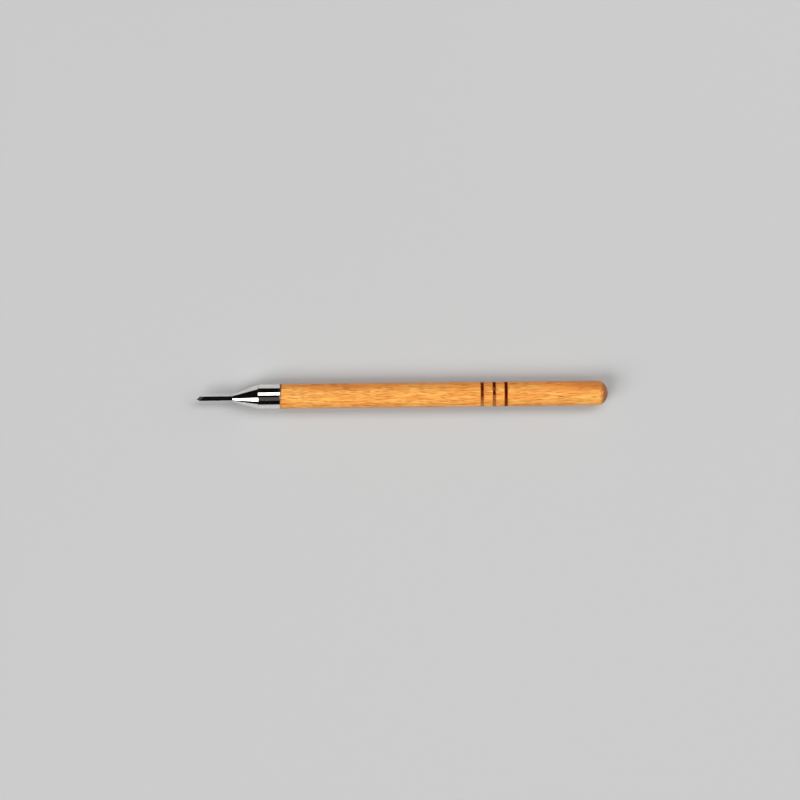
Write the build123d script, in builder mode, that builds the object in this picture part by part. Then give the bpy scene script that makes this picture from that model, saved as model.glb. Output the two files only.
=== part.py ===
from build123d import *
import os
from math import cos, hypot, radians, sin, tan

# Lino cutter: a small V-gouge held in a nickel-plated ferrule on a turned beech handle.
#
# Frame, in millimetres: the tool lies on its side on z = 0. +X runs along the handle towards its
# domed end, so the cutting edge points to -X. +Y is the side that the gouge's flute opens to.
# The origin is on z = 0, below the middle of the overall length.

# ---------------------------------------------------------------- driving dimensions

# Handle: a plain turned stick with a tenon in front, three burnt rings and a domed end
handle_diameter = 10.0
handle_length = 133.15  # front shoulder to the crown of the dome
shoulder_chamfer = 0.25
dome_height = 3.28  # barrel's end to the crown
dome_edge_radius = 1.0  # softened corner between barrel and dome
ring_distances = (82.05, 86.95, 91.75)  # centre of each ring, from the front shoulder
ring_width = 0.95
ring_depth = 0.15
tenon_chamfer = 0.4
pilot_depth = 20.0  # hole for the gouge's tang, from the tenon's end to where the drill point starts
drill_point_angle = 118.0

# Ferrule: a sleeve over the tenon, drawn down to a small nose that sits a little off the axis
ferrule_step = 0.05  # how far the ferrule's side lies below the handle's
sleeve_length = 8.9
sleeve_wall = 0.95
cone_length = 10.55
nose_wall = 0.645
nose_edge_radius = 0.15
ferrule_edge_radius = 0.08
nose_offset = 0.62  # nose and gouge, from the handle's axis towards -Y
socket_overrun = 0.6  # how far the socket goes on past the sleeve into the cone
glue_film = 0.1  # between tenon and socket, all round
glue_end_gap = 0.4  # between the tenon's end and the socket's floor

# Gouge: flat-sided V head, short neck, round shank and flattened tang
exposed_length = 14.6  # tip to the ferrule's nose
shank_diameter = 1.72  # and the height of the head, which is forged from it
shank_clearance = 0.02  # shank in the ferrule's nose, all round
head_length = 9.6  # straight part of the V
neck_length = 2.2  # from the V to the round shank
head_angle = 55.0  # between the two flanks
keel_wall = 0.52  # metal under the flute's floor
keel_radius = 0.3
wing_edge_radius = 0.06
flute_length = 8.2  # straight part of the flute, from the tip
flute_wheel_radius = 9.0  # the flute's run-out is the arc of the grinding wheel
flute_wheel_turn = 60.0  # part of the wheel that is drawn, enough to leave the metal
edge_slope = 41.0  # cutting edges to the axis, seen from the side
bevel_angle = 21.0  # sharpening bevels to the flute's faces
keel_bevel_angle = 22.0  # facet under the tip, to the axis
tang_width = 2.0
tang_thickness = 1.1
tang_length = 5.0
tang_taper_length = 1.6
tang_glue_film = 0.06  # between the tang's corners and its hole
tang_end_gap = 0.8  # between the tang's end and the start of the drill point

# ---------------------------------------------------------------- places worked out from them

handle_radius = handle_diameter / 2
ferrule_radius = handle_radius - ferrule_step
socket_radius = ferrule_radius - sleeve_wall
tenon_radius = socket_radius - glue_film
shank_radius = shank_diameter / 2
nose_bore_radius = shank_radius + shank_clearance
nose_radius = nose_bore_radius + nose_wall
tang_corner_radius = hypot(tang_width, tang_thickness) / 2
pilot_radius = max(tang_corner_radius, shank_radius) + tang_glue_film
axis_height = handle_radius
overall_length = exposed_length + cone_length + sleeve_length + handle_length

tip_x = -overall_length / 2
nose_x = tip_x + exposed_length
cone_end_x = nose_x + cone_length
shoulder_x = cone_end_x + sleeve_length
crown_x = shoulder_x + handle_length
socket_floor_x = cone_end_x - socket_overrun
tenon_x = socket_floor_x + glue_end_gap
pilot_end_x = tenon_x + pilot_depth
tang_end_x = pilot_end_x - tang_end_gap
tang_flat_x = tang_end_x - tang_length
shank_end_x = tang_flat_x - tang_taper_length
head_end_x = tip_x + head_length
neck_end_x = head_end_x + neck_length

dome_radius = (handle_radius**2 + dome_height**2) / (2 * dome_height)
dome_edge_x = crown_x - dome_height

handle_axis = Axis((0, 0, axis_height), (1, 0, 0))
gouge_axis = Axis((0, -nose_offset, axis_height), (1, 0, 0))


def handle_section(x):
    """Plane across the tool at x, centred on the handle's axis; local x is +Y and local y is +Z."""
    return Plane(origin=(x, 0, axis_height), x_dir=(0, 1, 0), z_dir=(1, 0, 0))


def gouge_section(x):
    """Plane across the tool at x, centred on the gouge's axis; local x is +Y and local y is +Z."""
    return Plane(origin=(x, -nose_offset, axis_height), x_dir=(0, 1, 0), z_dir=(1, 0, 0))


# Lengthwise planes: local x is +X, and local y is the distance from the axis, upwards
handle_profile_plane = Plane(origin=(0, 0, axis_height), x_dir=(1, 0, 0), z_dir=(0, -1, 0))
gouge_profile_plane = Plane(origin=(0, -nose_offset, axis_height), x_dir=(1, 0, 0), z_dir=(0, -1, 0))

# ---------------------------------------------------------------- tang hole

# The space drilled for the tang: the handle loses it, and the glue round the tang fills it
drill_point_length = pilot_radius / tan(radians(drill_point_angle / 2))

with BuildPart() as pilot_hole:
    with BuildSketch(gouge_profile_plane):
        with BuildLine():
            Polyline(
                (tenon_x, 0),
                (tenon_x, pilot_radius),
                (pilot_end_x, pilot_radius),
                (pilot_end_x + drill_point_length, 0),
                close=True,
            )
        make_face()
    revolve(axis=gouge_axis)

# ---------------------------------------------------------------- handle

# The rings are rubbed in with a round wire, so each is a shallow arc of this radius
ring_wire_radius = ((ring_width / 2) ** 2 + ring_depth**2) / (2 * ring_depth)

with BuildPart() as handle:
    with BuildSketch(handle_profile_plane):
        with BuildLine():
            Polyline(
                (crown_x, 0),
                (tenon_x, 0),
                (tenon_x, tenon_radius - tenon_chamfer),
                (tenon_x + tenon_chamfer, tenon_radius),
                (shoulder_x, tenon_radius),
                (shoulder_x, handle_radius - shoulder_chamfer),
                (shoulder_x + shoulder_chamfer, handle_radius),
                (dome_edge_x, handle_radius),
            )
            RadiusArc((dome_edge_x, handle_radius), (crown_x, 0), dome_radius)
        make_face()
    revolve(axis=handle_axis)
    barrel = handle.faces().filter_by(GeomType.CYLINDER).sort_by(Axis.X)[-1]
    fillet(barrel.edges().sort_by(Axis.X)[-1], radius=dome_edge_radius)
    with BuildSketch(handle_profile_plane):
        for distance in ring_distances:
            with Locations((shoulder_x + distance, handle_radius - ring_depth + ring_wire_radius)):
                Circle(ring_wire_radius)
    revolve(axis=handle_axis, mode=Mode.SUBTRACT)
    add(pilot_hole.part, mode=Mode.SUBTRACT)
handle.part.label = "handle"

# ---------------------------------------------------------------- gouge

half_angle = radians(head_angle / 2)
top_y = shank_radius
keel_y = -shank_radius
# where the flanks would meet below the rounded keel
flank_meeting_y = keel_y - keel_radius * (1 / sin(half_angle) - 1)
flute_floor_y = keel_y + keel_wall
flute_end_x = tip_x + flute_length
flute_reach = 1.0  # how far the cutting shapes run past the metal


def v_outline(bottom_y, upper_y):
    """Draw a V that opens to +Y, from its sharp bottom up to upper_y."""
    half_width = (upper_y - bottom_y) * tan(half_angle)
    Polygon((bottom_y, 0), (upper_y, -half_width), (upper_y, half_width), align=None)


# All the sharpening bevels pass through the front end of the flute's floor, the very tip
tip_point = Vector(tip_x, flute_floor_y - nose_offset, axis_height)


def flank_bevel(side):
    """Plane of one flank's sharpening bevel; side is +1 or -1, and its normal points off the metal."""
    flank_out = Vector(0, -sin(half_angle), side * cos(half_angle))
    edge_lean = cos(half_angle) / tan(radians(edge_slope))
    cutting_edge = Vector(edge_lean, cos(half_angle), side * sin(half_angle))
    forward = flank_out.cross(cutting_edge.normalized()) * side
    angle = radians(bevel_angle)
    return Plane(origin=tip_point, z_dir=flank_out * cos(angle) + forward * sin(angle))


keel_slope = radians(keel_bevel_angle)
keel_bevel = Plane(origin=tip_point, z_dir=Vector(-sin(keel_slope), -cos(keel_slope), 0))

with BuildPart() as cutter:
    # round shank through the ferrule's nose and into the handle
    with BuildSketch(gouge_section(neck_end_x)):
        Circle(shank_radius)
    extrude(amount=shank_end_x - neck_end_x)
    # tang, hammered flat so that it can't turn
    with BuildSketch(gouge_section(shank_end_x)):
        Circle(shank_radius)
    with BuildSketch(gouge_section(tang_flat_x)):
        Rectangle(tang_width, tang_thickness)
    loft()
    with BuildSketch(gouge_section(tang_flat_x)):
        Rectangle(tang_width, tang_thickness)
    extrude(amount=tang_length)
    # V head and the neck behind it
    with BuildSketch(gouge_section(head_end_x)) as head_outline:
        v_outline(flank_meeting_y, top_y)
        keel_corner = head_outline.vertices().sort_by(Axis.X)[0]
        wing_corners = head_outline.vertices().sort_by(Axis.X)[-2:]
        fillet(keel_corner, radius=keel_radius)
        fillet(wing_corners, radius=wing_edge_radius)
    extrude(amount=-head_length)
    with BuildSketch(gouge_section(head_end_x)):
        add(head_outline.sketch_local)
    with BuildSketch(gouge_section(neck_end_x)):
        Circle(shank_radius)
    loft()
    # flute: a straight V that runs out in the arc of the wheel that ground it
    with BuildSketch(gouge_section(flute_end_x)):
        v_outline(flute_floor_y, top_y + flute_reach)
    extrude(amount=-flute_length - flute_reach, mode=Mode.SUBTRACT)
    with BuildSketch(gouge_section(flute_end_x)):
        v_outline(flute_floor_y, top_y + flute_reach)
    wheel_axis = Axis(
        (flute_end_x, flute_floor_y - nose_offset + flute_wheel_radius, axis_height), (0, 0, 1)
    )
    revolve(axis=wheel_axis, revolution_arc=flute_wheel_turn, mode=Mode.SUBTRACT)
    # sharpening bevels on both flanks and under the keel
    for bevel in (flank_bevel(1), flank_bevel(-1), keel_bevel):
        split(bisect_by=bevel, keep=Keep.BOTTOM)
cutter.part.label = "cutter"

# ---------------------------------------------------------------- ferrule

with BuildPart() as ferrule:
    with BuildSketch(handle_section(cone_end_x)):
        Circle(ferrule_radius)
    extrude(amount=sleeve_length)
    with BuildSketch(gouge_section(nose_x)):
        Circle(nose_radius)
    with BuildSketch(handle_section(cone_end_x)):
        Circle(ferrule_radius)
    loft()
    fillet(ferrule.faces().sort_by(Axis.X)[0].edges(), radius=nose_edge_radius)
    fillet(ferrule.faces().sort_by(Axis.X)[-1].edges(), radius=ferrule_edge_radius)
    with BuildSketch(handle_section(shoulder_x)):
        Circle(socket_radius)
    extrude(amount=socket_floor_x - shoulder_x, mode=Mode.SUBTRACT)
    with BuildSketch(gouge_section(nose_x)):
        Circle(nose_bore_radius)
    extrude(amount=socket_floor_x - nose_x, mode=Mode.SUBTRACT)
ferrule.part.label = "ferrule"

# ---------------------------------------------------------------- glue

# Epoxy that fills the tang's hole round the shank and the tang
with BuildPart() as tang_adhesive:
    add(pilot_hole.part)
    add(cutter.part, mode=Mode.SUBTRACT)
tang_adhesive.part.label = "tang_adhesive"

# Epoxy that fills the socket round and in front of the tenon
with BuildPart() as ferrule_adhesive:
    with BuildSketch(handle_section(socket_floor_x)):
        Circle(socket_radius)
    extrude(amount=shoulder_x - socket_floor_x)
    with BuildSketch(gouge_section(socket_floor_x)):
        Circle(shank_radius)
    extrude(amount=glue_end_gap, mode=Mode.SUBTRACT)
    add(handle.part, mode=Mode.SUBTRACT)
    add(pilot_hole.part, mode=Mode.SUBTRACT)
ferrule_adhesive.part.label = "ferrule_adhesive"

# ---------------------------------------------------------------- files

os.makedirs("parts", exist_ok=True)
export_step(handle.part, "parts/handle.step")
export_step(ferrule.part, "parts/ferrule.step")
export_step(cutter.part, "parts/cutter.step")
export_step(tang_adhesive.part, "parts/tang_adhesive.step")
export_step(ferrule_adhesive.part, "parts/ferrule_adhesive.step")
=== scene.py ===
import math

import bmesh
import bpy
from mathutils import Matrix, Vector


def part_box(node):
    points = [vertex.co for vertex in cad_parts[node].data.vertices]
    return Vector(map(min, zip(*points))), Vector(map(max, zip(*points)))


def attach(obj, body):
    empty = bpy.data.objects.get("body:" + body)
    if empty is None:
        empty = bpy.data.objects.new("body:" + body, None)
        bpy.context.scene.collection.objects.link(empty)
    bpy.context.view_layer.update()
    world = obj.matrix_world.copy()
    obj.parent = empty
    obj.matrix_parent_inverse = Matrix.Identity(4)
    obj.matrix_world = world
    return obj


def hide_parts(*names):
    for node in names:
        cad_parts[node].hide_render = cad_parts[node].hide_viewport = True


# Lino cutter: beech handle with three burnt rings, nickel-plated ferrule and black V-gouge.
# Metres throughout. +X runs towards the handle's domed end, +Y is the side the flute opens to,
# +Z is up. The tool lies on its side on the floor, z = 0.

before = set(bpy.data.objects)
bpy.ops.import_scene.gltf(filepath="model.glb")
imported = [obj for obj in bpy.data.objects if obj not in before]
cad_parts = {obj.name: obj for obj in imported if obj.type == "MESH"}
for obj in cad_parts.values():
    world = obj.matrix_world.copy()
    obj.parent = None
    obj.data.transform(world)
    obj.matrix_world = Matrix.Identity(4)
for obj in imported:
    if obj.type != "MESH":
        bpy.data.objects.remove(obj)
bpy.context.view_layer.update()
mm = 0.001
same_place = 0.001 * mm  # two places closer than this are one place
same_way = 0.9995  # two normals whose dot product is above this point the same way

# ------------------------------------------------------------ places, from the frame

handle_low, handle_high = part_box("handle")
ferrule_low, ferrule_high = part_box("ferrule")
cutter_low, cutter_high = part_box("cutter")
tang_glue_low, tang_glue_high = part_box("tang_adhesive")
tenon_glue_low, tenon_glue_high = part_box("ferrule_adhesive")

axis_z = (handle_low.z + handle_high.z) / 2
handle_radius = (handle_high.z - handle_low.z) / 2
ferrule_step = 0.05 * mm
ferrule_radius = handle_radius - ferrule_step
socket_radius = (tenon_glue_high.z - tenon_glue_low.z) / 2
pilot_radius = (tang_glue_high.z - tang_glue_low.z) / 2
gouge_y = (tang_glue_low.y + tang_glue_high.y) / 2

tip_x = cutter_low.x
tang_end_x = cutter_high.x
nose_x = ferrule_low.x
shoulder_x = ferrule_high.x
tenon_x = handle_low.x
crown_x = handle_high.x
socket_floor_x = tenon_glue_low.x
pilot_point_x = tang_glue_high.x

# ------------------------------------------------------------ sizes that the boxes don't give

glue_film = 0.1 * mm
tenon_radius = socket_radius - glue_film
tenon_chamfer = 0.4 * mm
drill_half_angle = math.radians(59)
drill_point_length = pilot_radius / math.tan(drill_half_angle)
shoulder_chamfer = 0.25 * mm
ring_places = [shoulder_x + distance * mm for distance in (82.05, 86.95, 91.75)]
ring_width = 0.95 * mm
ring_lip = 0.625 * ring_width  # from a ring's middle to where its soft lip ends
ring_depth = 0.15 * mm
dome_height = 3.28 * mm
dome_edge_radius = 1.0 * mm
sleeve_length = 8.9 * mm
cone_end_x = shoulder_x - sleeve_length
nose_radius = 1.525 * mm
nose_bore_radius = 0.88 * mm
nose_bore_chamfer = 0.1 * mm
nose_edge_radius = 0.15 * mm
ferrule_edge_radius = 0.08 * mm
shank_radius = 0.86 * mm
head_length = 9.6 * mm
neck_length = 2.2 * mm
head_half_angle = math.radians(27.5)
keel_wall = 0.52 * mm
keel_radius = 0.3 * mm
wing_edge_radius = 0.06 * mm
flute_length = 8.2 * mm
flute_wheel_radius = 9.0 * mm
flute_wheel_turn = math.radians(60)
flute_reach = 1.0 * mm  # how far the grinding wheel's shape runs past the steel
edge_slope = math.radians(41)
bevel_angle = math.radians(21)
keel_bevel_angle = math.radians(22)
tang_width = 2.0 * mm
tang_thickness = 1.1 * mm
tang_length = 5.0 * mm
tang_taper_length = 1.6 * mm

# ------------------------------------------------------------ bench tools


def deselect_all():
    bpy.ops.object.select_all(action="DESELECT")


def edit(piece):
    """Open one piece in edit mode with nothing of it selected."""
    deselect_all()
    bpy.context.view_layer.objects.active = piece
    piece.select_set(True)
    bpy.ops.object.mode_set(mode="EDIT")
    bpy.ops.mesh.select_mode(type="VERT")
    bpy.ops.mesh.select_all(action="DESELECT")


def leave_edit():
    bpy.ops.object.mode_set(mode="OBJECT")


def select_faces(piece, wanted):
    """Select the faces whose middle and normal pass the test, in edit mode."""
    bpy.ops.mesh.select_mode(type="FACE")
    mesh = bmesh.from_edit_mesh(piece.data)
    for face in mesh.faces:
        face.select_set(wanted(face.calc_center_median(), face.normal))
    bmesh.update_edit_mesh(piece.data)


def select_edges(piece, wanted):
    """Select the edges whose two ends pass the test, in edit mode."""
    bpy.ops.mesh.select_mode(type="EDGE")
    mesh = bmesh.from_edit_mesh(piece.data)
    for edge in mesh.edges:
        edge.select_set(wanted(edge.verts[0].co, edge.verts[1].co))
    bmesh.update_edit_mesh(piece.data)


def select_points(piece, wanted):
    """Select the vertices whose place passes the test, in edit mode."""
    bpy.ops.mesh.select_mode(type="VERT")
    mesh = bmesh.from_edit_mesh(piece.data)
    for vertex in mesh.verts:
        vertex.select_set(wanted(vertex.co))
    mesh.select_flush_mode()
    bmesh.update_edit_mesh(piece.data)


def settle(piece):
    """Bring a piece's place into its mesh, with its object at the origin, unturned."""
    deselect_all()
    bpy.context.view_layer.objects.active = piece
    piece.select_set(True)
    bpy.ops.object.transform_apply(location=True, rotation=True, scale=True)


def close_up(piece, sharp_angle):
    """Merge doubles, turn every face outwards and smooth all but the sharp edges."""
    edit(piece)
    bpy.ops.mesh.select_all(action="SELECT")
    bpy.ops.mesh.remove_doubles(threshold=same_place / 2)
    bpy.ops.mesh.normals_make_consistent(inside=False)
    leave_edit()
    bpy.ops.object.shade_smooth_by_angle(angle=math.radians(sharp_angle))


def disc(name, x, y, radius, sides, fill="NGON"):
    """Add a disc that faces along the tool, with its place in its mesh."""
    deselect_all()
    bpy.ops.mesh.primitive_circle_add(
        vertices=sides,
        radius=radius,
        fill_type=fill,
        location=(x, y, axis_z),
        rotation=(0, math.pi / 2, 0),
    )
    piece = bpy.context.object
    piece.name = name
    piece.data.name = name
    settle(piece)
    return piece


def turn(piece, stations):
    """Extrude the selected ring through the stations that follow the first, as on a lathe."""
    for (x0, y0, r0), (x1, y1, r1) in zip(stations, stations[1:]):
        bpy.ops.mesh.extrude_region_move(
            TRANSFORM_OT_translate={"value": (x1 - x0, y1 - y0, 0)}
        )
        grow = r1 / r0
        bpy.ops.transform.resize(
            value=(1, grow, grow), center_override=(x1, y1, axis_z)
        )


def steps(count):
    """Fractions from just above 0 to 1."""
    return [(i + 1) / count for i in range(count)]


# ------------------------------------------------------------ beech handle


def shoulder_edge():
    """Stations round the handle's softened front edge."""
    made = []
    for part in steps(5):
        turned = part * math.pi / 2
        made.append(
            (
                shoulder_x + shoulder_chamfer * (1 - math.cos(turned)),
                handle_radius - shoulder_chamfer + shoulder_chamfer * math.sin(turned),
            )
        )
    return made


def groove(middle):
    """Stations across one burnt ring: a soft-lipped shallow groove."""
    made = []
    for part in steps(14):
        across = (part - 0.5) * 2 * ring_lip
        depth = ring_depth * math.cos(math.pi * (part - 0.5)) ** 2
        made.append((middle + across, handle_radius - depth))
    return made


def barrel(start, end, count):
    """Evenly spaced stations along a plain stretch."""
    return [(start + (end - start) * part, handle_radius) for part in steps(count)]


def dome():
    """Stations of the domed end: a softened corner, then the cap up to just short of the crown."""
    cap_radius = (handle_radius**2 + dome_height**2) / (2 * dome_height)
    cap_middle = crown_x - cap_radius
    corner_radius_from_cap = cap_radius - dome_edge_radius
    corner_height = handle_radius - dome_edge_radius
    corner_middle = cap_middle + math.sqrt(corner_radius_from_cap**2 - corner_height**2)
    meeting = math.atan2(corner_height, corner_middle - cap_middle)
    made = []
    for part in [0, *steps(6)]:
        lean = math.pi / 2 - (math.pi / 2 - meeting) * part
        made.append(
            (
                corner_middle + dome_edge_radius * math.cos(lean),
                corner_height + dome_edge_radius * math.sin(lean),
            )
        )
    for part in steps(24)[:-1]:
        lean = meeting * (1 - part)
        made.append((cap_middle + cap_radius * math.cos(lean), cap_radius * math.sin(lean)))
    return made


def make_handle():
    pilot_end_x = pilot_point_x - drill_point_length
    speck = 0.02 * mm  # the drill point starts as a disc this small
    stations = [
        (pilot_point_x, gouge_y, speck),
        (pilot_end_x, gouge_y, pilot_radius),
        (tenon_x, gouge_y, pilot_radius),
        (tenon_x, 0, tenon_radius - tenon_chamfer),
        (tenon_x + tenon_chamfer, 0, tenon_radius),
        (shoulder_x, 0, tenon_radius),
        (shoulder_x, 0, handle_radius - shoulder_chamfer),
    ]
    outside = shoulder_edge()
    reached = shoulder_x + shoulder_chamfer
    for ring_x, stretches in zip(ring_places, (12, 2, 2)):
        outside += barrel(reached, ring_x - ring_lip, stretches)
        outside += groove(ring_x)
        reached = ring_x + ring_lip
    dome_stations = dome()
    outside += barrel(reached, dome_stations[0][0], 6)
    outside += dome_stations[1:]
    stations += [(x, 0, r) for x, r in outside]

    piece = disc("beech_handle", *stations[0], sides=160)
    edit(piece)
    bpy.ops.mesh.select_all(action="SELECT")
    turn(piece, stations)
    # the last ring closes on the crown
    bpy.ops.mesh.extrude_region_move(
        TRANSFORM_OT_translate={"value": (crown_x - stations[-1][0], 0, 0)}
    )
    bpy.ops.mesh.merge(type="CENTER")
    leave_edit()
    close_up(piece, 28)
    return piece


# ------------------------------------------------------------ nickel-plated ferrule


cone_length = cone_end_x - nose_x
nose_face_radius = nose_radius - nose_edge_radius * 0.85


def nose_edge():
    """Stations round the softened edge of the nose, which meets the cone's slope."""
    slope = (ferrule_radius - nose_radius) / cone_length
    made = []
    for part in steps(6):
        turned = part * math.pi / 2
        radius = nose_face_radius + (nose_radius - nose_face_radius) * math.sin(turned)
        made.append(
            (
                nose_x + nose_edge_radius * (1 - math.cos(turned)),
                gouge_y,
                radius + nose_edge_radius * slope * part,
            )
        )
    return made


def cone():
    """Stations on the cone, whose middle slides from the gouge's line to the handle's."""
    start = nose_edge_radius / cone_length
    made = []
    for part in steps(16):
        share = start + (1 - start) * part
        made.append(
            (
                nose_x + cone_length * share,
                gouge_y * (1 - share),
                nose_radius + (ferrule_radius - nose_radius) * share,
            )
        )
    return made


def sleeve_edge():
    """Stations round the sleeve's softened rear edge."""
    made = []
    for part in steps(5):
        turned = part * math.pi / 2
        made.append(
            (
                shoulder_x - ferrule_edge_radius * (1 - math.sin(turned)),
                0,
                ferrule_radius - ferrule_edge_radius * (1 - math.cos(turned)),
            )
        )
    return made


def make_ferrule():
    stations = [
        (socket_floor_x, gouge_y, nose_bore_radius),
        (nose_x + nose_bore_chamfer, gouge_y, nose_bore_radius),
        (nose_x, gouge_y, nose_bore_radius + nose_bore_chamfer),
        (nose_x, gouge_y, nose_face_radius),
        *nose_edge(),
        *cone(),
        (shoulder_x - sleeve_length / 2, 0, ferrule_radius),
        (shoulder_x - ferrule_edge_radius, 0, ferrule_radius),
        *sleeve_edge(),
        (shoulder_x, 0, socket_radius),
        (socket_floor_x, 0, socket_radius),
        (socket_floor_x, gouge_y, nose_bore_radius),
    ]
    piece = disc("nickel_ferrule", *stations[0], sides=160, fill="NOTHING")
    edit(piece)
    bpy.ops.mesh.select_all(action="SELECT")
    turn(piece, stations)
    leave_edit()
    close_up(piece, 15)
    return piece


# ------------------------------------------------------------ black steel gouge

top_y = gouge_y + shank_radius
keel_y = gouge_y - shank_radius
flute_floor_y = keel_y + keel_wall
flank_meeting_y = keel_y - keel_radius * (1 / math.sin(head_half_angle) - 1)
head_end_x = tip_x + head_length
neck_end_x = head_end_x + neck_length
flute_end_x = tip_x + flute_length


def v_face(name, x, bottom_y, upper_y):
    """Add a V-shaped face across the tool that opens to +Y, and stay in edit mode on it."""
    deselect_all()
    height = upper_y - bottom_y
    radius = height / 1.5
    bpy.ops.mesh.primitive_circle_add(
        vertices=3,
        radius=radius,
        fill_type="NGON",
        location=(x, bottom_y + radius, axis_z),
        rotation=(math.pi, math.pi / 2, 0),
    )
    piece = bpy.context.object
    piece.name = name
    piece.data.name = name
    settle(piece)
    edit(piece)
    bpy.ops.mesh.select_all(action="SELECT")
    width = 2 * height * math.tan(head_half_angle)
    bpy.ops.transform.resize(
        value=(1, 1, width / (radius * math.sqrt(3))),
        center_override=(x, bottom_y + radius, axis_z),
    )
    return piece


def flute_wheel():
    """The space that the grinding wheel takes: a straight V that runs out in the wheel's arc."""
    tool = v_face("flute_wheel", flute_end_x, flute_floor_y, top_y + flute_reach)
    bpy.ops.mesh.extrude_region_move(
        TRANSFORM_OT_translate={"value": (-flute_length - flute_reach, 0, 0)}
    )
    select_faces(tool, lambda middle, normal: abs(middle.x - flute_end_x) < same_place)
    bpy.ops.mesh.spin(
        steps=40,
        angle=-flute_wheel_turn,
        center=(flute_end_x, flute_floor_y + flute_wheel_radius, axis_z),
        axis=(0, 0, 1),
    )
    leave_edit()
    close_up(tool, 30)
    return tool


def grind(piece, normal):
    """Grind off all that lies beyond the plane through the tip that faces this way."""
    bpy.ops.mesh.select_all(action="SELECT")
    bpy.ops.mesh.bisect(
        plane_co=(tip_x, flute_floor_y, axis_z),
        plane_no=normal,
        use_fill=True,
        clear_outer=True,
    )


def bevel_normals():
    """Outward normals of the sharpening bevels: both flanks, then the facet under the keel."""
    made = []
    for side in (1, -1):
        flank_out = Vector((0, -math.sin(head_half_angle), side * math.cos(head_half_angle)))
        edge = Vector(
            (
                math.cos(head_half_angle) / math.tan(edge_slope),
                math.cos(head_half_angle),
                side * math.sin(head_half_angle),
            )
        ).normalized()
        forward = flank_out.cross(edge) * side
        made.append(flank_out * math.cos(bevel_angle) + forward * math.sin(bevel_angle))
    made.append(Vector((-math.sin(keel_bevel_angle), -math.cos(keel_bevel_angle), 0)))
    return made


def make_cutter():
    # head: a V outline with a rounded keel and slightly rounded wings, extruded to the tip
    piece = v_face("black_gouge", head_end_x, flank_meeting_y, top_y)
    select_points(piece, lambda place: place.y < keel_y)
    bpy.ops.mesh.bevel(
        affect="VERTICES", offset=keel_radius / math.tan(head_half_angle), segments=12
    )
    wing_angle = (math.pi / 2 - head_half_angle) / 2
    select_points(piece, lambda place: place.y > top_y - same_place)
    bpy.ops.mesh.bevel(
        affect="VERTICES", offset=wing_edge_radius / math.tan(wing_angle), segments=4
    )
    # as many points round the V as round the shank, so that the neck runs evenly
    half_top = (top_y - flank_meeting_y) * math.tan(head_half_angle)
    bpy.ops.mesh.select_all(action="SELECT")
    bpy.ops.mesh.delete(type="ONLY_FACE")
    select_edges(piece, lambda a, b: abs(a.y - b.y) > shank_radius)
    bpy.ops.mesh.subdivide(number_cuts=9)
    select_edges(piece, lambda a, b: abs(a.z - b.z) > half_top)
    bpy.ops.mesh.subdivide(number_cuts=7)
    bpy.ops.mesh.select_mode(type="VERT")
    bpy.ops.mesh.select_all(action="SELECT")
    bpy.ops.mesh.edge_face_add()
    bpy.ops.mesh.extrude_region_move(TRANSFORM_OT_translate={"value": (-head_length, 0, 0)})
    # shank: from the neck's end to where the tang starts to flatten
    flat_x = tang_end_x - tang_length
    shank_end_x = flat_x - tang_taper_length
    bpy.ops.mesh.select_all(action="DESELECT")
    bpy.ops.mesh.primitive_circle_add(
        vertices=48,
        radius=shank_radius,
        fill_type="NGON",
        location=(neck_end_x, gouge_y, axis_z),
        rotation=(0, math.pi / 2, 0),
    )
    bpy.ops.mesh.extrude_region_move(
        TRANSFORM_OT_translate={"value": (shank_end_x - neck_end_x, 0, 0)}
    )
    # tang: a flattened end
    bpy.ops.mesh.select_all(action="DESELECT")
    bpy.ops.mesh.primitive_plane_add(
        size=tang_width, location=(flat_x, gouge_y, axis_z), rotation=(0, math.pi / 2, 0)
    )
    bpy.ops.transform.resize(
        value=(1, 1, tang_thickness / tang_width), center_override=(flat_x, gouge_y, axis_z)
    )
    bpy.ops.mesh.extrude_region_move(TRANSFORM_OT_translate={"value": (tang_length, 0, 0)})
    # neck and taper: bridges between the facing ends
    for first, second in ((head_end_x, neck_end_x), (shank_end_x, flat_x)):
        select_faces(
            piece,
            lambda middle, normal: abs(normal.x) > 0.9
            and min(abs(middle.x - first), abs(middle.x - second)) < same_place,
        )
        bpy.ops.mesh.bridge_edge_loops(number_cuts=6, smoothness=0)
    leave_edit()
    close_up(piece, 30)
    # flute
    tool = flute_wheel()
    deselect_all()
    bpy.context.view_layer.objects.active = piece
    piece.select_set(True)
    cut = piece.modifiers.new("flute", "BOOLEAN")
    cut.operation = "DIFFERENCE"
    cut.solver = "EXACT"
    cut.object = tool
    bpy.ops.object.modifier_apply(modifier="flute")
    bpy.data.objects.remove(tool)
    # sharpening
    edit(piece)
    for normal in bevel_normals():
        grind(piece, normal)
    leave_edit()
    close_up(piece, 20)
    return piece


# ------------------------------------------------------------ finishes


def new_finish(name):
    """A material with one surface shader, and the place on the piece that its patterns read."""
    finish = bpy.data.materials.new(name)
    finish.use_nodes = True
    tree = finish.node_tree
    tree.nodes.clear()
    surface = tree.nodes.new("ShaderNodeBsdfPrincipled")
    output = tree.nodes.new("ShaderNodeOutputMaterial")
    tree.links.new(surface.outputs["BSDF"], output.inputs["Surface"])
    place = tree.nodes.new("ShaderNodeTexCoord")
    return finish, tree, surface, place.outputs["Object"]


def add(tree, kind, inputs, **settings):
    """Add a node; each input is a fixed value or another node's output."""
    made = tree.nodes.new("ShaderNode" + kind)
    for key, value in settings.items():
        setattr(made, key, value)
    for key, value in inputs.items():
        if isinstance(value, bpy.types.NodeSocket):
            tree.links.new(value, made.inputs[key])
        else:
            made.inputs[key].default_value = value
    return made


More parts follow.
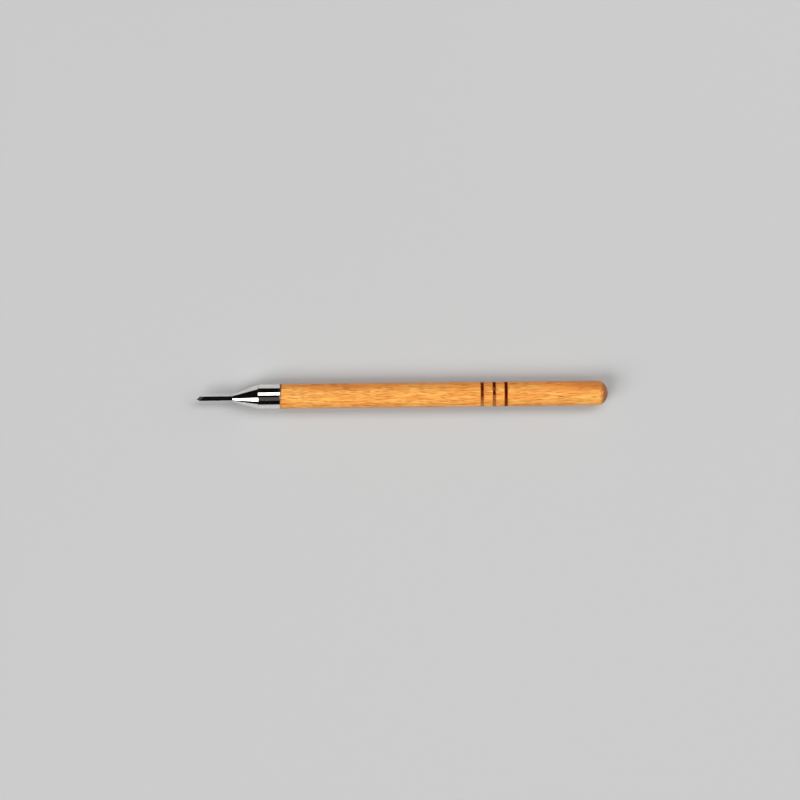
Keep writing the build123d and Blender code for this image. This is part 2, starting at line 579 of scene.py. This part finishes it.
def streaks(tree, place, per_metre, detail=2.0, wander=0.0, shift=(0, 0, 0)):
    """Noise with this many waves to the metre along X, Y and Z."""
    drawn = add(tree, "Mapping", {"Vector": place, "Scale": per_metre, "Location": shift})
    inputs = {
        "Vector": drawn.outputs["Vector"],
        "Scale": 1.0,
        "Detail": detail,
        "Roughness": 0.55,
        "Distortion": wander,
    }
    return add(tree, "TexNoise", inputs).outputs["Fac"]


def cells(tree, place, per_metre, shift=(0, 0, 0)):
    """Scattered cells, this many to the metre along X, Y and Z."""
    drawn = add(tree, "Mapping", {"Vector": place, "Scale": per_metre, "Location": shift})
    return add(tree, "TexVoronoi", {"Vector": drawn.outputs["Vector"], "Scale": 1.0})


def fade(tree, value, start, end, low=0.0, high=1.0):
    """Go smoothly from low to high as the value goes from start to end."""
    inputs = {"Value": value, "From Min": start, "From Max": end, "To Min": low, "To Max": high}
    return add(tree, "MapRange", inputs, interpolation_type="SMOOTHSTEP").outputs["Result"]


def sums(tree, operation, first, second):
    """One step of arithmetic."""
    return add(tree, "Math", {0: first, 1: second}, operation=operation).outputs[0]


def off(tree, value, middle):
    """How far the value is from middle, either way."""
    return sums(tree, "ABSOLUTE", sums(tree, "SUBTRACT", value, middle), 0.0)


def tint(tree, amount, below, above, kind="MIX"):
    """Lay one colour over another by this amount."""
    inputs = {0: amount, 6: below, 7: above}
    return add(tree, "Mix", inputs, data_type="RGBA", blend_type=kind).outputs[2]


def along(tree, place):
    """The place split into its X, Y and Z."""
    split = add(tree, "SeparateXYZ", {"Vector": place})
    return split.outputs["X"], split.outputs["Y"], split.outputs["Z"]


def relief(tree, height, depth, strength):
    """Fine relief from a height of 0 to 1 that stands for this depth in metres."""
    inputs = {"Height": height, "Distance": depth, "Strength": strength}
    return add(tree, "Bump", inputs).outputs["Normal"]


def beech_finish():
    """Satin-lacquered beech: fine rays, growth streaks, pores, burnt rings, a browner dome, and
    painted shade on the +Y side, over the dome and in the front joint.
    """
    finish, tree, surface, place = new_finish("beech")
    x, y = along(tree, place)[:2]

    tone = streaks(tree, place, (30, 330, 250), 3.0, 0.4)
    growth = streaks(tree, place, (110, 1450, 1250), 3.0, 0.4, (3, 1, 7))
    fibre = streaks(tree, place, (230, 4600, 3600), 3.0, 0.2)
    crowding = streaks(tree, place, (60, 300, 280), 2.0, 0.0, (1, 8, 4))
    pores = streaks(tree, place, (900, 9000, 9000), 1.0)

    # rays: small lens-shaped dashes along the grain, each as dark as its own number says
    rays = cells(tree, place, (230, 2900, 2200), (5, 2, 1))
    ray_number = add(tree, "SeparateColor", {"Color": rays.outputs["Color"]}).outputs[0]
    ray_dark = fade(tree, ray_number, 0.05, 0.8, 0.25, 1.0)
    crowded = fade(tree, crowding, 0.3, 0.7, 0.06, -0.08)
    ray_size = sums(tree, "ADD", crowded, fade(tree, fibre, 0.3, 0.7, -0.13, 0.13))
    ray_edge = sums(tree, "ADD", rays.outputs["Distance"], ray_size)
    ray_mark = sums(tree, "MULTIPLY", fade(tree, ray_edge, 0.45, 0.26), ray_dark)
    pore_mark = fade(tree, pores, 0.36, 0.26)

    pale, deep = (0.83, 0.425, 0.098, 1), (0.79, 0.30, 0.056, 1)
    colour = tint(tree, fade(tree, tone, 0.3, 0.7), pale, deep)
    colour = tint(tree, fade(tree, growth, 0.52, 0.38, 0.0, 0.62), colour, (0.66, 0.22, 0.038, 1))
    colour = tint(tree, fade(tree, growth, 0.54, 0.66, 0.0, 0.6), colour, (0.92, 0.53, 0.16, 1))
    # painted shade: the +Y side is redder and darker, as if the light fell from the other side,
    # and darkest towards the domed end
    shade_place = sums(tree, "ADD", y, fade(tree, tone, 0.2, 0.8, -1.5 * mm, 1.5 * mm))
    top_shade = fade(tree, shade_place, 0.8 * mm, 4.4 * mm, 0.0, 0.6)
    colour = tint(tree, top_shade, colour, (0.80, 0.25, 0.042, 1))
    rear = fade(tree, x, 58 * mm, 80 * mm, 0.0, 0.75)
    dome_top_shade = sums(tree, "MULTIPLY", fade(tree, shade_place, 0.8 * mm, 4.0 * mm), rear)
    colour = tint(tree, dome_top_shade, colour, (0.50, 0.16, 0.036, 1))
    colour = tint(tree, fade(tree, fibre, 0.35, 0.6, 0.26, 0.0), colour, (0.50, 0.16, 0.028, 1))
    colour = tint(tree, sums(tree, "MULTIPLY", ray_mark, 0.8), colour, (0.38, 0.10, 0.015, 1))
    colour = tint(tree, sums(tree, "MULTIPLY", pore_mark, 0.35), colour, (0.30, 0.09, 0.015, 1))

    # the dome's end grain is browner, and painted shade darkens it further towards the crown,
    # which faces away from the lights
    patch = streaks(tree, place, (700, 1100, 1100), 4.0)
    dome_start = crown_x - dome_height
    dome_place = sums(tree, "ADD", x, fade(tree, patch, 0.2, 0.8, -0.5 * mm, 0.5 * mm))
    dome_end_grain_and_shade = fade(tree, dome_place, dome_start - 0.3 * mm, crown_x - 1.1 * mm, 0.0, 0.9)
    colour = tint(tree, dome_end_grain_and_shade, colour, (0.19, 0.057, 0.027, 1))
    # at the front edge: a dark joint line, with painted shadow in it that is deepest on the +Y
    # side
    front = sums(tree, "ADD", x, fade(tree, patch, 0.2, 0.8, -0.12 * mm, 0.12 * mm))
    joint_line_and_shadow = fade(tree, front, shoulder_x + 0.75 * mm, shoulder_x + 0.3 * mm)
    shadow_side = fade(tree, y, -2.5 * mm, 3.0 * mm, 0.25, 0.97)
    joint_line_and_shadow = sums(tree, "MULTIPLY", joint_line_and_shadow, shadow_side)
    colour = tint(tree, joint_line_and_shadow, colour, (0.05, 0.018, 0.008, 1))

    # burnt rings: each is charred most on the +Y side and thins out towards the other
    scorch = streaks(tree, place, (700, 500, 500), 3.0)
    ragged = fade(tree, scorch, 0.25, 0.75, -0.06 * mm, 0.08 * mm)
    burn = 0.0
    halo = 0.0
    for ring_x, thin_side, full_side in zip(
        ring_places, (0.45, 0.50, 0.92), (1.05, 1.02, 1.05)
    ):
        away = sums(tree, "ADD", off(tree, x, ring_x), ragged)
        char = fade(tree, away, ring_width * 0.80, ring_width * 0.52)
        side = fade(tree, y, -4.2 * mm, 1.0 * mm, thin_side, full_side)
        patchy = fade(tree, scorch, 0.36, 0.48, 0.4 + 0.6 * thin_side, 1.0)
        char = sums(tree, "MULTIPLY", char, sums(tree, "MULTIPLY", side, patchy))
        burn = sums(tree, "MAXIMUM", burn, char)
        brown = fade(tree, away, ring_width * 1.25, ring_width * 0.4, 0.0, 0.42)
        halo = sums(tree, "MAXIMUM", halo, brown)
    colour = tint(tree, halo, colour, (0.36, 0.085, 0.012, 1))
    colour = tint(tree, burn, colour, (0.085, 0.0035, 0.0002, 1))
    tree.links.new(colour, surface.inputs["Base Color"])

    rough = fade(tree, tone, 0.25, 0.75, 0.36, 0.48)
    rough = sums(tree, "ADD", rough, sums(tree, "MULTIPLY", ray_mark, 0.10))
    rough = sums(tree, "ADD", rough, sums(tree, "MULTIPLY", burn, 0.22))
    tree.links.new(rough, surface.inputs["Roughness"])

    flaking = sums(tree, "MULTIPLY", burn, scorch)
    height = sums(tree, "MULTIPLY", fibre, 0.35)
    for mark, share in ((growth, 0.5), (ray_mark, -0.45), (pore_mark, -0.25), (flaking, -0.8)):
        height = sums(tree, "ADD", height, sums(tree, "MULTIPLY", mark, share))
    tree.links.new(relief(tree, height, 0.03 * mm, 0.6), surface.inputs["Normal"])
    # the lacquer is burnt away in the rings, so they are matt; the plain wood's number comes in
    # at the last step, where an export still reads it
    wood_sheen, ring_sheen = 0.18, 0.03
    sheen = fade(tree, burn, 0.2, 0.9, 1.0, ring_sheen / wood_sheen)
    sheen = sums(tree, "MULTIPLY", sheen, wood_sheen)
    tree.links.new(sheen, surface.inputs["Specular IOR Level"])
    tree.links.new(fade(tree, burn, 0.2, 0.9, 0.08, 0.0), surface.inputs["Coat Weight"])
    surface.inputs["Specular Tint"].default_value = (1.0, 0.74, 0.45, 1)
    surface.inputs["Coat Roughness"].default_value = 0.3
    return finish


def nickel_finish():
    """Polished nickel plate over turned brass: faint lathe lines, hairlines and edge tarnish."""
    finish, tree, surface, place = new_finish("nickel_plate")
    x = along(tree, place)[0]
    lathe = streaks(tree, place, (9000, 60, 60), 2.0)
    lathe_coarse = streaks(tree, place, (1700, 40, 40), 1.0, 0.0, (2, 4, 6))
    hairs = streaks(tree, place, (170, 5600, 5600), 2.0, 0.25, (6, 1, 3))
    cloud = streaks(tree, place, (260, 260, 260), 4.0)

    handled = fade(tree, cloud, 0.42, 0.68)
    shoulder_grime = fade(tree, x, shoulder_x - 0.9 * mm, shoulder_x + 0.1 * mm)
    nose_grime = fade(tree, x, nose_x + 0.9 * mm, nose_x)
    crease = fade(tree, off(tree, x, cone_end_x), 0.35 * mm, 0.0)
    grime = sums(tree, "MAXIMUM", sums(tree, "MAXIMUM", shoulder_grime, nose_grime), crease)
    grime = sums(tree, "MULTIPLY", grime, fade(tree, cloud, 0.3, 0.65, 0.2, 0.75))
    colour = tint(tree, handled, (0.96, 0.93, 0.89, 1), (0.90, 0.86, 0.81, 1))
    turned = fade(tree, lathe_coarse, 0.40, 0.60, 0.10, 0.0)
    colour = tint(tree, turned, colour, (0.55, 0.53, 0.50, 1))
    colour = tint(tree, sums(tree, "MULTIPLY", grime, 0.55), colour, (0.42, 0.36, 0.28, 1))
    tree.links.new(colour, surface.inputs["Base Color"])

    rough = fade(tree, cloud, 0.3, 0.7, 0.035, 0.075)
    rough = sums(tree, "ADD", rough, fade(tree, lathe, 0.55, 0.75, 0.0, 0.05))
    rough = sums(tree, "ADD", rough, fade(tree, hairs, 0.62, 0.70, 0.0, 0.08))
    rough = sums(tree, "ADD", rough, sums(tree, "MULTIPLY", grime, 0.18))
    tree.links.new(rough, surface.inputs["Roughness"])
    height = sums(tree, "ADD", sums(tree, "MULTIPLY", lathe, 0.5), lathe_coarse)
    height = sums(tree, "SUBTRACT", height, fade(tree, hairs, 0.62, 0.70, 0.0, 0.6))
    tree.links.new(relief(tree, height, 0.0022 * mm, 0.5), surface.inputs["Normal"])
    surface.inputs["Metallic"].default_value = 1.0
    return finish


def black_steel_finish():
    """Hardened tool steel, blacked: uneven oxide with rubbed edges and fine scuffs."""
    finish, tree, surface, place = new_finish("black_steel")
    cloud = streaks(tree, place, (420, 900, 900), 4.0)
    scuffs = streaks(tree, place, (500, 9000, 9000), 2.0, 0.8)
    grit = streaks(tree, place, (9000, 9000, 9000), 2.0)
    rubbed = fade(tree, scuffs, 0.62, 0.74)
    # the oxide is worn thin along the wings and the keel
    x, y = along(tree, place)[:2]
    wing_wear = fade(tree, y, top_y - 0.14 * mm, top_y - 0.02 * mm)
    keel_wear = fade(tree, y, keel_y + 0.16 * mm, keel_y + 0.02 * mm)
    wear = sums(tree, "MAXIMUM", wing_wear, keel_wear)
    wear = sums(tree, "MULTIPLY", wear, fade(tree, cloud, 0.42, 0.62))
    wear = sums(tree, "MULTIPLY", wear, fade(tree, x, neck_end_x, head_end_x))
    thick, thin = (0.0014, 0.0014, 0.0017, 1), (0.0036, 0.0033, 0.0036, 1)
    colour = tint(tree, fade(tree, cloud, 0.3, 0.7), thick, thin)
    colour = tint(tree, sums(tree, "MULTIPLY", rubbed, 0.2), colour, (0.035, 0.032, 0.03, 1))
    colour = tint(tree, sums(tree, "MULTIPLY", wear, 0.6), colour, (0.05, 0.047, 0.044, 1))
    tree.links.new(colour, surface.inputs["Base Color"])
    rough = fade(tree, cloud, 0.25, 0.75, 0.36, 0.5)
    rough = sums(tree, "SUBTRACT", rough, sums(tree, "MULTIPLY", rubbed, 0.08))
    tree.links.new(rough, surface.inputs["Roughness"])
    height = sums(tree, "MULTIPLY", grit, 0.6)
    height = sums(tree, "SUBTRACT", height, sums(tree, "MULTIPLY", rubbed, 0.5))
    tree.links.new(relief(tree, height, 0.004 * mm, 0.5), surface.inputs["Normal"])
    surface.inputs["Specular IOR Level"].default_value = 0.035
    return finish


def ground_steel_finish():
    """The sharpened bevels: steel ground across and left dark, with the stone's lines."""
    finish, tree, surface, place = new_finish("ground_steel")
    lines = streaks(tree, place, (16000, 900, 900), 2.0, 0.3)
    cloud = streaks(tree, place, (1500, 1500, 1500), 3.0)
    dull, bright = (0.014, 0.014, 0.015, 1), (0.040, 0.039, 0.038, 1)
    colour = tint(tree, fade(tree, lines, 0.35, 0.65), dull, bright)
    colour = tint(tree, fade(tree, cloud, 0.4, 0.7, 0.0, 0.5), colour, (0.012, 0.012, 0.013, 1))
    # darker towards the cutting edge, where the last of the black is left
    x, y = along(tree, place)[:2]
    back = sums(tree, "MULTIPLY", sums(tree, "SUBTRACT", x, tip_x), math.sin(edge_slope))
    up = sums(tree, "MULTIPLY", sums(tree, "SUBTRACT", y, flute_floor_y), math.cos(edge_slope))
    behind_edge = sums(tree, "SUBTRACT", back, up)
    dark_edge = fade(tree, behind_edge, 0.7 * mm, 0.2 * mm, 0.0, 0.7)
    colour = tint(tree, dark_edge, colour, (0.006, 0.006, 0.007, 1))
    tree.links.new(colour, surface.inputs["Base Color"])
    tree.links.new(fade(tree, lines, 0.3, 0.7, 0.34, 0.46), surface.inputs["Roughness"])
    tree.links.new(relief(tree, lines, 0.002 * mm, 0.5), surface.inputs["Normal"])
    surface.inputs["Metallic"].default_value = 0.5
    surface.inputs["Specular IOR Level"].default_value = 0.12
    return finish


def epoxy_finish():
    """Amber casting resin: slightly clouded, with small bubbles."""
    finish, tree, surface, place = new_finish("epoxy")
    cloud = streaks(tree, place, (500, 900, 900), 3.0)
    bubbles = cells(tree, place, (2600, 2600, 2600))
    bubble = fade(tree, bubbles.outputs["Distance"], 0.22, 0.10)
    amber, cloudy = (0.50, 0.30, 0.09, 1), (0.62, 0.42, 0.16, 1)
    colour = tint(tree, fade(tree, cloud, 0.3, 0.7), amber, cloudy)
    colour = tint(tree, sums(tree, "MULTIPLY", bubble, 0.5), colour, (0.80, 0.68, 0.42, 1))
    tree.links.new(colour, surface.inputs["Base Color"])
    tree.links.new(fade(tree, cloud, 0.3, 0.7, 0.18, 0.32), surface.inputs["Roughness"])
    tree.links.new(relief(tree, bubble, 0.02 * mm, 0.4), surface.inputs["Normal"])
    return finish


def floor_finish():
    """Matt pale grey paper."""
    finish, tree, surface, place = new_finish("pale_paper")
    tooth = streaks(tree, place, (900, 900, 900), 3.0)
    cloud = streaks(tree, place, (1.5, 1.5, 1.5), 2.0)
    darker, paler = (0.456, 0.457, 0.457, 1), (0.464, 0.465, 0.465, 1)
    colour = tint(tree, fade(tree, cloud, 0.3, 0.7), darker, paler)
    tree.links.new(colour, surface.inputs["Base Color"])
    tree.links.new(fade(tree, tooth, 0.3, 0.7, 0.8, 0.9), surface.inputs["Roughness"])
    tree.links.new(relief(tree, tooth, 0.02 * mm, 0.15), surface.inputs["Normal"])
    surface.inputs["Specular IOR Level"].default_value = 0.15
    return finish


def finish_with(piece, finish):
    """Give every slot of a piece this finish."""
    if not piece.data.materials:
        piece.data.materials.append(finish)
    for slot in piece.material_slots:
        slot.material = finish


# ------------------------------------------------------------ put the tool together

handle = make_handle()
ferrule = make_ferrule()
cutter = make_cutter()
finish_with(handle, beech_finish())
finish_with(ferrule, nickel_finish())
finish_with(cutter, black_steel_finish())

# the sharpened bevels are bare steel
cutter.data.materials.append(ground_steel_finish())
for face in cutter.data.polygons:
    if any(face.normal.dot(normal) > same_way for normal in bevel_normals()):
        face.material_index = 1

epoxy = epoxy_finish()
for node in ("tang_adhesive", "ferrule_adhesive"):
    finish_with(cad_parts[node], epoxy)

for piece, node, slot in (
    (handle, "handle", "beech"),
    (ferrule, "ferrule", "nickel_plate"),
    (cutter, "cutter", "black_steel"),
):
    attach(piece, "root")
    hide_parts(node)

# ------------------------------------------------------------ floor, light and camera

view_middle = Vector((-0.9 * mm, -2.0 * mm, axis_z))
camera_height = 1.807  # above the tool's axis
camera_roll = math.radians(-0.6)


def softbox(name, towards, across, distance, width, height, power):
    """A soft rectangular light in this direction from the tool, its height laid along across."""
    z_axis = Vector(towards).normalized()
    y_axis = (Vector(across) - z_axis * Vector(across).dot(z_axis)).normalized()
    x_axis = y_axis.cross(z_axis)
    lamp = bpy.data.lights.new(name, "AREA")
    lamp.shape = "RECTANGLE"
    lamp.size = width
    lamp.size_y = height
    lamp.energy = power
    stand = bpy.data.objects.new(name, lamp)
    stand.matrix_world = Matrix(
        (
            (x_axis.x, y_axis.x, z_axis.x, z_axis.x * distance),
            (x_axis.y, y_axis.y, z_axis.y, z_axis.y * distance),
            (x_axis.z, y_axis.z, z_axis.z, z_axis.z * distance),
            (0, 0, 0, 1),
        )
    )
    bpy.context.scene.collection.objects.link(stand)


deselect_all()
bpy.ops.mesh.primitive_circle_add(vertices=96, radius=3.0, fill_type="NGON", location=(0, 0, 0))
floor = bpy.context.object
floor.name = "floor"
finish_with(floor, floor_finish())

# overhead draws the bright stripe along the sleeve, key the one along the cone, glimmer the grey
# band beside the first; fill lights the wood from a side that the ferrule doesn't mirror
softbox("overhead", (0.2, 0.414, 0.888), (0, 1, 0), 2.0, 2.2, 0.85, 20.5)
softbox("key", (-0.58, -0.46, 0.69), (0.05, -0.565, -0.3), 3.0, 2.6, 1.6, 82.0)
softbox("fill", (0.8, 0.1, 0.6), (0, 1, 0), 3.0, 2.6, 3.0, 70.0)
softbox("glimmer", (0, -0.415, 0.910), (0, 1, 0), 2.5, 2.0, 1.48, 0.75)

# the room is dark but for a pale band along the horizon, which the ferrule's sides mirror
world = bpy.data.worlds.new("studio")
world.use_nodes = True
bpy.context.scene.world = world
sky = world.node_tree
sky.nodes.clear()
direction = sky.nodes.new("ShaderNodeTexCoord").outputs["Generated"]
height = along(sky, direction)[2]
pale_band = fade(sky, height, 0.112, 0.088, 0.004, 0.56)
background = add(sky, "Background", {"Color": (1, 1, 1, 1), "Strength": pale_band})
out = sky.nodes.new("ShaderNodeOutputWorld")
sky.links.new(background.outputs["Background"], out.inputs["Surface"])

camera_data = bpy.data.cameras.new("camera")
camera_data.lens = 200
camera_data.sensor_width = 36
camera_data.clip_end = 20
camera = bpy.data.objects.new("camera", camera_data)
camera.location = (view_middle.x, view_middle.y, view_middle.z + camera_height)
camera.rotation_euler = (0, 0, camera_roll)
bpy.context.scene.collection.objects.link(camera)
bpy.context.scene.camera = camera
bpy.context.scene.view_settings.view_transform = "Standard"
